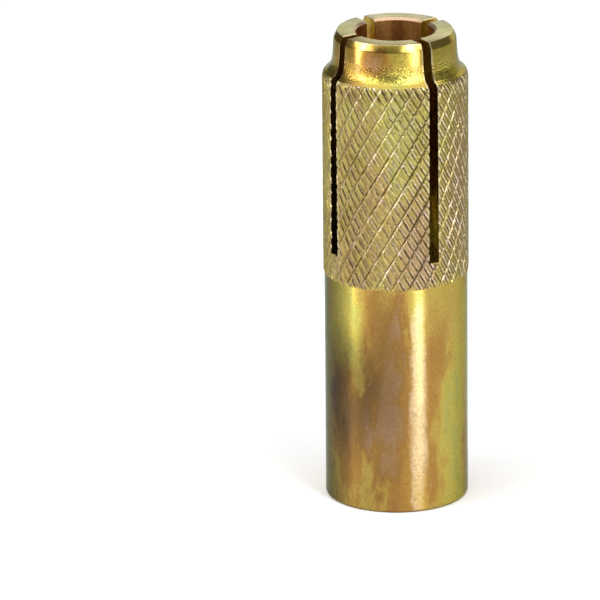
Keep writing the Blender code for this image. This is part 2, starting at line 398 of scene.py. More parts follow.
# Roughness, coat and relief, where depths are in millimetres
GRAIN_ROUGHNESS = 0.12
SPECK_ROUGHNESS = 0.2
SMEARED_POLISH = 0.14
FIELD_ROUGHNESS = 0.2
SMOOTHEST = 0.25
BORE_SMOOTHEST = 0.28
FLOOR_ROUGHNESS = 0.9
COAT_WEIGHT = 0.32
COAT_ROUGHNESS = 0.13
GRAIN_TURN = 0.25
GRAIN_IN_STREAKS = 0.6
GRAIN_IN_RINGS = 0.5
TOOTH_CREST = 0.075
PIT_DEPTH = 0.07
DRILL_RING_DEPTH = 0.006
FINE_RELIEF = 0.003


def arc(centre, width, height, start, end, steps):
    """Points of a round or elliptical arc in the profile plane, both ends included."""
    angles = np.linspace(start, end, steps + 1)
    return [(centre[0] + width * math.cos(angle), centre[1] + height * math.sin(angle)) for angle in angles]


def ring(radius, height, turn=0.0, columns=COLUMNS):
    """One ring of points, where the radius is a number or one value for each column."""
    angles = np.arange(columns) * 2 * math.pi / columns + turn
    return np.stack([radius * np.cos(angles), radius * np.sin(angles), np.full(columns, height)], axis=1)


def closed_skin(name, rings):
    """A closed mesh from rings of points listed from the top down, with a fan over each end."""
    columns = len(rings[0])
    points = np.concatenate([*rings, [rings[0].mean(axis=0)], [rings[-1].mean(axis=0)]])
    near = np.arange(columns)
    far = np.roll(near, -1)
    faces = []
    for row in range(len(rings) - 1):
        upper = row * columns
        lower = upper + columns
        faces.append(np.stack([upper + near, lower + near, lower + far], axis=1))
        faces.append(np.stack([upper + near, lower + far, upper + far], axis=1))
    last = (len(rings) - 1) * columns
    top = np.full(columns, len(rings) * columns)
    faces.append(np.stack([top, near, far], axis=1))
    faces.append(np.stack([top + 1, last + far, last + near], axis=1))
    mesh = bpy.data.meshes.new(name)
    mesh.from_pydata(points * MM, [], np.concatenate(faces))
    return mesh


def nose_outline():
    """Profile from the tip face down to the top of the knurl, in radii and heights."""
    tip_edge = NOSE_TIP_RADIUS - RIM_CHAMFER_WIDTH
    chamfer_foot = LENGTH - RIM_CHAMFER_HEIGHT
    shoulder_centre = (CREST_RADIUS - SHOULDER_WIDTH, SHOULDER_FOOT)
    top = math.atan(math.tan(SHOULDER_SWEEP) * SHOULDER_RISE / SHOULDER_WIDTH)
    shoulder = arc(shoulder_centre, SHOULDER_WIDTH, SHOULDER_RISE, top, SHOULDER_ARC_END, SHOULDER_STEPS)
    corner_end = (
        shoulder[0][0] - SHOULDER_SLOPE * math.sin(SHOULDER_SWEEP),
        shoulder[0][1] + SHOULDER_SLOPE * math.cos(SHOULDER_SWEEP),
    )
    corner_centre = (
        corner_end[0] + CORNER_RADIUS * math.cos(SHOULDER_SWEEP),
        corner_end[1] + CORNER_RADIUS * math.sin(SHOULDER_SWEEP),
    )
    fillet_end = math.pi + FILLET_SWEEP
    corner_sweep_end = math.pi + SHOULDER_SWEEP
    corner = arc(corner_centre, CORNER_RADIUS, CORNER_RADIUS, fillet_end, corner_sweep_end, CORNER_STEPS)
    fillet_centre = (
        corner[0][0] + FILLET_RADIUS * math.cos(FILLET_SWEEP),
        corner[0][1] + FILLET_RADIUS * math.sin(FILLET_SWEEP),
    )
    start = math.pi + FILLET_START
    fillet = arc(fillet_centre, FILLET_RADIUS, FILLET_RADIUS, start, fillet_end, FILLET_STEPS)
    return [
        (tip_edge - EDGE_BREAK, LENGTH),
        (tip_edge, LENGTH - EDGE_BREAK / 2),
        (NOSE_TIP_RADIUS - EDGE_BREAK / 2, chamfer_foot + EDGE_BREAK),
        (NOSE_TIP_RADIUS, chamfer_foot - EDGE_BREAK),
        NOSE_WAIST,
        *fillet,
        *corner[1:],
        *shoulder,
    ]


def knurl_base(height):
    """Radius of the band before it is rolled: it rounds over at the shoulder."""
    rise = max(height - SHOULDER_FOOT, 0) / SHOULDER_RISE
    return CREST_RADIUS - SHOULDER_WIDTH * (1 - math.sqrt(1 - rise * rise))


def wander(angle, height, waves, seed):
    """A smooth field from -1 to 1 that closes round the axis, to vary the knurl from place to place."""
    random = np.random.default_rng(seed)
    total = np.zeros(len(angle))
    for turns, rate in waves:
        total = total + np.sin(turns * angle + rate * height + random.uniform(0, 2 * math.pi))
    return total / len(waves)


def groove(columns_away, period, half_width):
    """Depth share of the nearest V groove of a family, which is 1 at its bottom."""
    away = np.abs((columns_away + period / 2) % period - period / 2)
    return np.clip(1 - away / half_width, 0, 1)


def knurl_depth(column, row, angle, height):
    """Depth of the pattern along one ring: leading and crossing grooves, and a fine line between those."""
    ripple = wander(angle, height, LEADING_WAVES, LEADING_SEED)
    patch = wander(angle, height, CROSSING_WAVES, CROSSING_SEED)
    lower = np.clip((KNURL_TOP - height) / DEEPENING_STRETCH, 0, 1)
    leading = groove(column, COLUMNS_PER_START, LEADING_HALF_WIDTH)
    leading = leading * (LEADING_SHARE_AT_TOP + (1 - LEADING_SHARE_AT_TOP) * lower)
    leading = leading * (1 + GROOVE_VARIATION * ripple)
    crown = CROWN_EXTRA * np.clip((height - KNURL_TOP + CROWN_HEIGHT) / CROWN_FADE, 0, 1)
    crossing = groove(column - row, COLUMNS_PER_CROSSING, CROSSING_HALF_WIDTH)
    crossing = crossing * (1 + crown + GROOVE_VARIATION * patch)
    fine = groove(column - row + COLUMNS_PER_CROSSING / 2, COLUMNS_PER_CROSSING, FINE_HALF_WIDTH)
    fine = fine * (1 - FINE_SHARE_LOST * lower) * (1 + FINE_VARIATION * patch)
    return np.maximum.reduce([LEADING_DEPTH * leading, CROSSING_DEPTH * crossing, FINE_DEPTH * fine])


def knurl_rings():
    """Rings of the knurled band from the top down, and the turn of the last one."""
    random = np.random.default_rng(BURR_SEED)
    column = np.arange(COLUMNS)
    rings = []
    for row in range(ROWS + 1):
        height = KNURL_TOP - row * KNURL_LENGTH / ROWS
        angle = column * COLUMN_ANGLE - row * ROW_TURN
        depth = knurl_depth(column, row, angle, height) + BURR * random.standard_normal(COLUMNS)
        ragged = RAGGED_ENDS * wander(angle, 0, END_WAVES, END_SEED)
        top_fade = np.clip((KNURL_TOP - height + ragged) / TOP_FADE, 0, 1)
        bottom_fade = np.clip((height - KNURL_BOTTOM + ragged) / BOTTOM_FADE, 0, 1)
        if row == ROWS:
            bottom_fade = np.zeros(COLUMNS)
        base = SHANK_RADIUS + (knurl_base(height) - SHANK_RADIUS) * bottom_fade
        rings.append(ring(base - depth * top_fade * bottom_fade, height, -row * ROW_TURN))
    return rings, -ROWS * ROW_TURN


def sleeve_mesh(metals):
    """The outside of the sleeve as a solid body, turned, knurled or formed as the metals are listed."""
    upper = [ring(radius, height) for radius, height in nose_outline()]
    band, turn = knurl_rings()
    mouth_centre = (SHANK_RADIUS - MOUTH_ROUND, MOUTH_ROUND)
    shank = [(SHANK_RADIUS, KNURL_BOTTOM - drop) for drop in RINGS_BELOW_KNURL]
    shank += arc(mouth_centre, MOUTH_ROUND, MOUTH_ROUND, 0, -math.pi / 2, MOUTH_STEPS)
    lower = [ring(radius, height, turn) for radius, height in shank]
    mesh = closed_skin("anchor_sleeve_skin", [*upper, *band, *lower])
    for metal in metals:
        mesh.materials.append(metal)
    row = np.arange(len(mesh.polygons)) // (2 * COLUMNS)
    band_start = len(upper) - 1
    on_band = (row >= band_start) & (row < band_start + len(band))
    formed = (row < band_start) & (row != NOSE_WALL_ROW)
    mesh.polygons.foreach_set("material_index", on_band.astype(np.int32) + 2 * formed.astype(np.int32))
    return mesh


def bore_mesh():
    """What the drill removes, from above the tip to below the mouth."""
    outline = [
        (NOSE_BORE_RADIUS + BORE_CHAMFER + OVERRUN, LENGTH + OVERRUN),
        (NOSE_BORE_RADIUS, LENGTH - BORE_CHAMFER),
        (NOSE_BORE_RADIUS, TAPER_TOP),
        (TAPPED_BORE_RADIUS, TAPER_BOTTOM),
        (TAPPED_BORE_RADIUS, COUNTERSINK_RADIUS - TAPPED_BORE_RADIUS),
        (COUNTERSINK_RADIUS + OVERRUN, -OVERRUN),
    ]
    return closed_skin("bore", [ring(radius, height, columns=BORE_COLUMNS) for radius, height in outline])


def thread_mesh():
    """What the tap removes: a right-hand ridge that climbs one pitch a turn and runs out at its inner end."""
    step = len(THREAD_SHAPE)
    crest_radius = TAPPED_BORE_RADIUS - THREAD_OVERLAP
    start = THREAD_FIRST_PITCH * THREAD_PITCH
    pitches = math.ceil((THREAD_LENGTH - start) / THREAD_PITCH) + 1
    share = np.arange(BORE_COLUMNS) / BORE_COLUMNS
    angle = 2 * math.pi * share
    rows = []
    for pitch in range(pitches):
        for place, top in THREAD_SHAPE:
            height = start + THREAD_PITCH * (pitch + place + share)
            runout = np.clip((THREAD_LENGTH - height) / THREAD_RUNOUT, 0, 1)
            radius = crest_radius + (THREAD_RADIUS - crest_radius) * top * runout
            rows.append(np.stack([radius * np.cos(angle), radius * np.sin(angle), height], axis=1))
    index = np.arange(len(rows) * BORE_COLUMNS).reshape(len(rows), BORE_COLUMNS)
    following = np.full(index.shape, -1)
    following[:, :-1] = index[:, 1:]
    following[:-step, -1] = index[step:, 0]
    quads = np.stack([index[:-1], following[:-1], following[1:], index[1:]], axis=-1).reshape(-1, 4)
    quads = quads[quads.min(axis=1) >= 0]
    low_loop = np.concatenate([index[0], index[step:0:-1, 0]])
    high_loop = np.concatenate([index[-1], index[-2 : -2 - step : -1, -1]])
    low_end = index.size
    high_end = low_end + 1
    points = np.concatenate([*rows, [[0, 0, start]], [[0, 0, start + pitches * THREAD_PITCH]]])
    faces = quads.tolist()
    faces += [(low_end, far, near) for near, far in zip(low_loop, np.roll(low_loop, -1))]
    faces += [(high_end, near, far) for near, far in zip(high_loop, np.roll(high_loop, -1))]
    mesh = bpy.data.meshes.new("thread")
    mesh.from_pydata(points * MM, [], faces)
    return mesh


def slot_levels(bottom):
    """Radii and heights of the sleeve's outside where a slot's edge follows it, from above the tip down."""
    tip_edge = NOSE_TIP_RADIUS - RIM_CHAMFER_WIDTH
    below_rim = LENGTH - RIM_CHAMFER_HEIGHT + 2 * EDGE_BREAK
    levels = [(tip_edge, LENGTH + OVERRUN), (tip_edge + EDGE_BREAK / 2, LENGTH - SLOT_EDGE_BREAK)]
    levels += [level for level in nose_outline() if level[1] < below_rim]
    heights = np.linspace(KNURL_TOP, SHOULDER_FOOT, SLOT_SHOULDER_STEPS + 1)[1:]
    levels += [(knurl_base(height), height) for height in heights]
    levels.append((CREST_RADIUS, bottom))
    return levels


def slot_mesh(name, turn, depth, offset, metals):
    """A slot through both sides whose edges are broken: it widens where it leaves the sleeve's surface."""
    bottom = LENGTH - depth
    reach = SLOT_EDGE_BREAK + OVERRUN
    levels = slot_levels(bottom)
    widening = SLOT_WIDTH_AT_END - SLOT_WIDTH_AT_TIP
    points = []
    for radius, height in levels:
        width = SLOT_WIDTH_AT_TIP + widening * min(LENGTH - height, depth) / depth
        inner = width / 2 + max(height - LENGTH + SLOT_EDGE_BREAK, 0)
        near = radius - SLOT_EDGE_BREAK
        far = radius + OVERRUN
        low = height - reach if height == bottom else height
        points += [(-far, -inner - reach, low), (-near, -inner, height), (near, -inner, height)]
        points += [(far, -inner - reach, low), (far, inner + reach, low)]
        points += [(near, inner, height), (-near, inner, height), (-far, inner + reach, low)]
    corners = len(points) // len(levels)
    faces = []
    finishes = []
    for level in range(len(levels) - 1):
        upper = level * corners
        lower = upper + corners
        for side in range(corners):
            after = (side + 1) % corners
            faces.append((upper + side, lower + side, lower + after, upper + after))
            finishes.append(1 - side % 2)
    last = (len(levels) - 1) * corners
    for face in ((0, 1, 6, 7), (1, 2, 5, 6), (2, 3, 4, 5)):
        faces.append(face)
        faces.append([last + corner for corner in reversed(face)])
        finishes += [0, 0]
    mesh = bpy.data.meshes.new(name)
    mesh.from_pydata((np.array(points) + [0, offset, 0]) * MM, [], faces)
    mesh.transform(Matrix.Rotation(turn, 4, "Z"))
    for metal in metals:
        mesh.materials.append(metal)
    mesh.polygons.foreach_set("material_index", finishes)
    return mesh


def cut(target, cutters):
    """Take the cutters out of the target, whose new walls get the cutters' finish."""
    for cutter in cutters:
        tool = bpy.data.objects.new(cutter.name, cutter)
        bpy.context.scene.collection.objects.link(tool)
        step = target.modifiers.new(cutter.name, "BOOLEAN")
        step.operation = "DIFFERENCE"
        step.solver = "EXACT"
        step.material_mode = "TRANSFER"
        step.object = tool
    evaluated = target.evaluated_get(bpy.context.evaluated_depsgraph_get())
    result = bpy.data.meshes.new_from_object(evaluated)
    target.modifiers.clear()
    target.data = result
    for cutter in cutters:
        bpy.data.objects.remove(bpy.data.objects[cutter.name])


def shade(mesh, angle):
    """Smooth shading, broken at edges sharper than the angle."""
    mesh.polygons.foreach_set("use_smooth", np.ones(len(mesh.polygons), dtype=bool))
    mesh.set_sharp_from_angle(angle=math.radians(angle))


def plug_mesh():
    """The expander plug: a body with a lead parallel to the taper, and a centre drill's mark in each end."""
    top = plug_high.z / MM
    bottom = plug_low.z / MM
    body = plug_high.x / MM
    top_edge = top - PLUG_CHAMFER
    foot_edge = bottom + PLUG_CHAMFER
    lead = body - (top_edge - TAPER_BOTTOM) * TAPER_NARROWING / TAPER_LENGTH
    outline = [
        (TOP_MARK_POINT[0], top - TOP_MARK_POINT[1]),
        (TOP_MARK_BREAK[0], top - TOP_MARK_BREAK[1]),
        (TOP_MARK_RADIUS, top),
        (lead - PLUG_CHAMFER, top),
        (lead - EDGE_BREAK, top_edge + PLUG_LEAD_BREAK),
        (lead, top_edge - PLUG_LEAD_BREAK),
        (body, TAPER_BOTTOM + PLUG_BEND[0]),
        (body, TAPER_BOTTOM - PLUG_BEND[1]),
        (body, foot_edge + 2 * PLUG_FOOT_BREAK),
        (body - PLUG_FOOT_BREAK, foot_edge - PLUG_FOOT_BREAK),
        (body - PLUG_CHAMFER, bottom),
        (BOTTOM_MARK_RADIUS, bottom),
        (BOTTOM_MARK_POINT[0], bottom + BOTTOM_MARK_POINT[1]),
    ]
    return closed_skin("plug", [ring(radius, height, columns=BORE_COLUMNS) for radius, height in outline])


def add_node(tree, kind, inputs=None, **settings):
    """A node whose inputs are values or the sockets that feed them."""
    made = tree.nodes.new(kind)
    for name, value in settings.items():
        setattr(made, name, value)
    for name, value in (inputs or {}).items():
        if isinstance(value, bpy.types.NodeSocket):
            tree.links.new(value, made.inputs[name])
        else:
            made.inputs[name].default_value = value
    return made


def arithmetic(tree, operation, first, second=0.0, third=0.0):
    """One number from up to three."""
    made = add_node(tree, "ShaderNodeMath", {0: first, 1: second, 2: third}, operation=operation)
    return made.outputs[0]


def between(tree, value, low, high, to_low=0.0, to_high=1.0):
    """A smooth step from one value to another."""
    inputs = {"Value": value, "From Min": low, "From Max": high, "To Min": to_low, "To Max": to_high}
    return add_node(tree, "ShaderNodeMapRange", inputs, interpolation_type="SMOOTHSTEP").outputs[0]


def noise(tree, place, field):
    """A noise field stretched along each axis, where the place is in millimetres."""
    stretch, scale, detail, roughness = field
    inputs = {0: place, 1: stretch}
    moved = add_node(tree, "ShaderNodeVectorMath", inputs, operation="MULTIPLY").outputs[0]
    inputs = {"Vector": moved, "Scale": scale, "Detail": detail, "Roughness": roughness}
    return add_node(tree, "ShaderNodeTexNoise", inputs).outputs[0]


def opaque(tint):
    """Red, green and blue with an opacity, or a socket as it is."""
    return (*tint, 1.0) if isinstance(tint, tuple) else tint


def blend(tree, share, first, second, mode="MIX"):
    """One colour over another by a share."""
    inputs = {0: share, 6: opaque(first), 7: opaque(second)}
    return add_node(tree, "ShaderNodeMix", inputs, data_type="RGBA", blend_type=mode).outputs[2]


def new_material(name):
    """A new material, its node tree and its shader."""
    material = bpy.data.materials.new(name)
    material.use_nodes = True
    tree = material.node_tree
    return material, tree, tree.nodes["Principled BSDF"]


def set_metal(tree, shader, tint, rough, relief, depth):
    """Metal with a colour, a roughness and a relief that is as deep as given in millimetres."""
    tree.links.new(tint, shader.inputs["Base Color"])
    tree.links.new(rough, shader.inputs["Roughness"])
    shader.inputs["Metallic"].default_value = 1.0
    inputs = {"Strength": 1.0, "Distance": depth * MM, "Height": relief}
    tree.links.new(add_node(tree, "ShaderNodeBump", inputs).outputs[0], shader.inputs["Normal"])


def object_place(tree):
    """The place on the object in millimetres, its height, and its angle about the axis."""
    raw = add_node(tree, "ShaderNodeTexCoord").outputs["Object"]
    place = add_node(tree, "ShaderNodeVectorMath", {0: raw, "Scale": 1 / MM}, operation="SCALE").outputs[0]
    split = add_node(tree, "ShaderNodeSeparateXYZ", {0: place})
    angle = arithmetic(tree, "ARCTAN2", split.outputs[1], split.outputs[0])
    return place, split.outputs[2], angle


def stain(tree, place, warp, middle, reach):
    """A soft uneven spot from 0 to 1, at an angle from the camera's side and a height."""
    radius = NOSE_TIP_RADIUS if middle[1] > PITTED_LOW else SHANK_RADIUS
    turn = CAMERA_SIDE + math.radians(middle[0])
    across = 1 / (radius * math.radians(reach[0]))
    share = Vector((across, across, 1 / reach[1]))
    shift = -share * Vector((radius * math.cos(turn), radius * math.sin(turn), middle[1]))
    inputs = {0: place, 1: tuple(share), 2: tuple(shift)}
    away = add_node(tree, "ShaderNodeVectorMath", inputs, operation="MULTIPLY_ADD").outputs[0]
    inputs = {0: away, 1: away}
    distance = add_node(tree, "ShaderNodeVectorMath", inputs, operation="DOT_PRODUCT").outputs["Value"]
    return between(tree, arithmetic(tree, "ADD", distance, warp), *STAIN_STEP)


def near(tree, value, middle, reach):
    """A soft line from 0 to 1 about one value."""
    away = arithmetic(tree, "ABSOLUTE", arithmetic(tree, "SUBTRACT", value, middle))
    return between(tree, away, LINE_CORE * reach, reach, 1.0, 0.0)


def light_left(tree, place, warp, knurled):
    """How much light the spots of painted shade leave, which is above 1 in the spots of painted light."""
    if knurled:
        # On the knurl, painted shade over one spot
        return arithmetic(tree, "MULTIPLY_ADD", stain(tree, place, 0.0, *KNURL_SHADE_SPOT), -KNURL_SHADE_SHARE, 1.0)
    left = 1.0
    warp = arithmetic(tree, "MULTIPLY", warp, PAINTED_SHADE_WARP)
    # Each spot scales the light left: down for painted shade, up for painted light
    for middle, reach, darker in PAINTED_SHADE_AND_LIGHT_SPOTS:
        spot = stain(tree, place, warp, middle, reach)
        left = arithmetic(tree, "MULTIPLY", arithmetic(tree, "MULTIPLY_ADD", spot, -darker, 1.0), left)
    return left


def slot_edge(tree, place, height, reach):
    """A line from 0 to 1 along the slots' edges, where the saw's burr is rubbed, and a painted highlight."""
    split = add_node(tree, "ShaderNodeSeparateXYZ", {0: place})
    share = between(tree, height, LENGTH - SLOT_DEPTHS[0], LENGTH, 1.0, 0.0)
    widening = (SLOT_WIDTH_AT_END - SLOT_WIDTH_AT_TIP) / 2
    half_width = arithmetic(tree, "MULTIPLY_ADD", share, widening, SLOT_WIDTH_AT_TIP / 2)
    line = 0.0
    for turn, offset in zip(SLOT_TURNS, SLOT_OFFSETS):
        across = arithmetic(tree, "MULTIPLY_ADD", split.outputs[0], -math.sin(turn), -offset)
        across = arithmetic(tree, "MULTIPLY_ADD", split.outputs[1], math.cos(turn), across)
        away = arithmetic(tree, "SUBTRACT", arithmetic(tree, "ABSOLUTE", across), half_width)
        outer = between(tree, away, SLOT_LINE_CORE * reach, reach, 1.0, 0.0)
        edge = arithmetic(tree, "MULTIPLY", between(tree, away, *SLOT_LINE_START), outer)
        line = arithmetic(tree, "MAXIMUM", line, edge)
    return arithmetic(tree, "MULTIPLY", line, between(tree, height, *SLOT_LINE_END))


def knurl_places(tree, height, angle, uneven):
    """Where a point lies between two leading grooves, two crossing ones and two teeth, from -0.5 to 0.5."""
    rows = arithmetic(tree, "MULTIPLY_ADD", height, -ROWS / KNURL_LENGTH, KNURL_TOP * ROWS / KNURL_LENGTH)
    columns = arithmetic(tree, "DIVIDE", angle, COLUMN_ANGLE)
    leading = arithmetic(tree, "MULTIPLY_ADD", rows, ROW_TURN / COLUMN_ANGLE, columns)
    leading = arithmetic(tree, "DIVIDE", leading, COLUMNS_PER_START)
    leading = arithmetic(tree, "MULTIPLY_ADD", uneven, LEADING_DRIFT, leading)
    leading = arithmetic(tree, "WRAP", leading, 0.5, -0.5)
    crossing = arithmetic(tree, "MULTIPLY_ADD", rows, -ROW_TURN / COLUMN_ANGLE, columns)
    crossing = arithmetic(tree, "DIVIDE", crossing, COLUMNS_PER_CROSSING)
    crossing = arithmetic(tree, "MULTIPLY_ADD", uneven, CROSSING_DRIFT, crossing)
    tooth = arithmetic(tree, "WRAP", arithmetic(tree, "MULTIPLY", crossing, 2.0), 0.5, -0.5)
    crossing = arithmetic(tree, "WRAP", crossing, 0.5, -0.5)
    return leading, crossing, tooth


def tooth_strength(tree, height, leading, patchy):
    """How strongly the teeth are marked: in patches, most in the crown and least at the leading grooves."""
    upper = between(tree, between(tree, height, *UPPER_STEP), *UPPER_STRENGTH)
    teeth = arithmetic(tree, "MULTIPLY", between(tree, patchy, *TOOTH_PATCHES), upper)
    crown = between(tree, patchy, *CROWN_PATCHES)
    crown = arithmetic(tree, "MULTIPLY", between(tree, height, *CROWN_STEP), crown)
    teeth = arithmetic(tree, "MAXIMUM", teeth, crown)
    between_lines = between(tree, arithmetic(tree, "ABSOLUTE", leading), *TOOTH_AT_LEADING)
    return arithmetic(tree, "MULTIPLY", teeth, between_lines)


def knurl_shade_and_highlights(tree, place, height, angle, uneven, patchy):
    """Painted shade in the mesh's grooves and painted highlights beside them: both masks, and a height."""
    leading, crossing, tooth = knurl_places(tree, height, angle, uneven)
    teeth = tooth_strength(tree, height, leading, patchy)
    # One spot where the grooves get deeper painted shade and weaker painted highlights
    shaded = stain(tree, place, 0.0, *SHADED_SPOT)
    fine = arithmetic(tree, "MULTIPLY", near(tree, tooth, *FINE_DARK), FINE_DARK_SHARE)
    dark = arithmetic(tree, "MAXIMUM", near(tree, crossing, *CROSSING_DARK), fine)
    dark = arithmetic(tree, "MULTIPLY", dark, teeth)
    deep = between(tree, patchy, *LEADING_DARK_PATCHES)
    deep = arithmetic(tree, "MULTIPLY_ADD", shaded, SHADED_EXTRA, deep)
    deep = arithmetic(tree, "MULTIPLY", near(tree, leading, *LEADING_DARK), deep)
    dark = arithmetic(tree, "MULTIPLY", arithmetic(tree, "MAXIMUM", dark, deep), DARK_STRENGTH)
    dark = arithmetic(tree, "MINIMUM", dark, 1.0)
    pale = between(tree, teeth, *TOOTH_PALENESS)
    pale = arithmetic(tree, "MULTIPLY", near(tree, crossing, *CROSSING_PALE), pale)
    faint = arithmetic(tree, "MULTIPLY", teeth, FINE_PALE_SHARE)
    faint = arithmetic(tree, "MULTIPLY", near(tree, tooth, *FINE_PALE), faint)
    pale = arithmetic(tree, "MAXIMUM", pale, faint)
    line = between(tree, patchy, *LEADING_PALE_PATCHES)
    line = arithmetic(tree, "MULTIPLY_ADD", shaded, -SHADED_LOSS, line)
    line = arithmetic(tree, "MULTIPLY", near(tree, leading, *LEADING_PALE), line)
    pale = arithmetic(tree, "MAXIMUM", pale, line)
    crest = arithmetic(tree, "MULTIPLY", arithmetic(tree, "ABSOLUTE", tooth), teeth)
    return dark, pale, crest


def film_thickness(tree, place, clouds, warp, knurled):
    """Thickness of the film, from 0 to 1 along its colours, in clouds and stains."""
    start, cloudy = KNURLED_THICKNESS if knurled else TURNED_THICKNESS
    thickness = arithmetic(tree, "MULTIPLY_ADD", noise(tree, place, BROAD_CLOUDS), BROAD_SHARE, start)
    thickness = arithmetic(tree, "MULTIPLY_ADD", clouds, cloudy, thickness)
    for middle, reach, change in KNURLED_STAINS if knurled else TURNED_STAINS:
        spot = stain(tree, place, warp, middle, reach)
        thickness = arithmetic(tree, "MULTIPLY_ADD", spot, change, thickness)
    return thickness


def film_colours(tree, thickness, film):
    """Colours that the chromate film goes through as it thickens."""
    made = add_node(tree, "ShaderNodeValToRGB", {0: thickness})
    stops = made.color_ramp.elements
    stops.remove(stops[1])
    stops[0].color = opaque(film[0][1])
    for place, tint in film[1:]:
        stops.new(place).color = opaque(tint)
    return made.outputs[0]


def specks_and_pits(tree, place, height, fine, clouds, knurled):
    """Dark specks from 0 to 1, which gather in clusters on turned faces, and the pits under the nose."""
    field = noise(tree, place, SPECK_FIELD)
    pitted = between(tree, height, *PITTED_START)
    pitted = arithmetic(tree, "MULTIPLY", pitted, between(tree, height, *PITTED_END))
    # More dark specks and blotches in one spot at the nose's front
    front_spot = arithmetic(tree, "MULTIPLY", stain(tree, place, 0.0, *FRONT_SPECK_SPOT), pitted)
    more = between(tree, height, *CLEANER_NOSE)
    more = arithmetic(tree, "MULTIPLY_ADD", pitted, PITTED_SPECKS, more)
    more = arithmetic(tree, "MULTIPLY_ADD", front_spot, FRONT_SPECK_SHARE, more)
    if not knurled:
        more = arithmetic(tree, "ADD", more, arithmetic(tree, "MULTIPLY_ADD", clouds, *SPECK_CLUSTERS))
    specks = between(tree, arithmetic(tree, "ADD", field, more), *SPECK_STEP)
    soot = arithmetic(tree, "MULTIPLY", front_spot, between(tree, fine, *SOOT_STEP))
    pits = arithmetic(tree, "MULTIPLY", arithmetic(tree, "SUBTRACT", field, 0.5), pitted)
    return arithmetic(tree, "MAXIMUM", specks, soot), pits


def wear_shank(tree, toned, place, fine, warp):
    """The shank's colour with a pale worn streak and scratches over it."""
    worn = stain(tree, place, warp, *WORN_SPOT)
    thin = arithmetic(tree, "MULTIPLY", worn, between(tree, fine, *WORN_STEP))
    toned = blend(tree, thin, toned, WORN_FILM)
    scratches = between(tree, noise(tree, place, SCRATCH_FIELD), *SCRATCH_STEP)
    share = arithmetic(tree, "MULTIPLY_ADD", worn, *SCRATCH_SHARES)
    return blend(tree, arithmetic(tree, "MULTIPLY", scratches, share), toned, SCRATCH)


def knurl_painted_light_and_smear(tree, toned, place, height, angle, fine, clouds, light):
    """The knurl's colour with painted shade and highlights, where it is smeared, and the teeth's height."""
    uneven = arithmetic(tree, "MULTIPLY_ADD", clouds, *KNURL_DRIFT)
    patchy = noise(tree, place, KNURL_PATCHES)
    dark, pale, crest = knurl_shade_and_highlights(tree, place, height, angle, uneven, patchy)
    rim = arithmetic(tree, "MULTIPLY_ADD", patchy, SMEARED_PATCHES, height)
    rim = arithmetic(tree, "MULTIPLY_ADD", dark, SMEARED_GROOVES, rim)
    smeared = between(tree, rim, *SMEARED_STEP)
    toned = blend(tree, arithmetic(tree, "MULTIPLY", smeared, SMEARED_SHARE), toned, SMEARED_FILM)
    # Painted shade in the grooves, less where the film is smeared
    dark = arithmetic(tree, "MULTIPLY", dark, arithmetic(tree, "SUBTRACT", 1.0, smeared))
    toned = blend(tree, arithmetic(tree, "MULTIPLY", dark, DARK_SHARE), toned, GROOVE_SHADE)
    # How strong the painted highlights are: broken up, less where smeared and in the spot of painted shade
    highlight_strength = arithmetic(tree, "MULTIPLY_ADD", smeared, -SMEARED_LOSS, between(tree, fine, *HIGHLIGHT_BREAKUP_STEP))
    highlight_strength = arithmetic(tree, "ADD", highlight_strength, arithmetic(tree, "SUBTRACT", light, 1.0))
    highlight_strength = arithmetic(tree, "MAXIMUM", highlight_strength, 0.0)
    pale = arithmetic(tree, "MULTIPLY", arithmetic(tree, "MULTIPLY", pale, highlight_strength), PALE_SHARE)
    # Cream and pink colours of the painted highlights
    rubbed = blend(tree, between(tree, patchy, *PINK_STEP), HIGHLIGHT_CREAM, HIGHLIGHT_PINK)
    return blend(tree, pale, toned, rubbed), smeared, crest


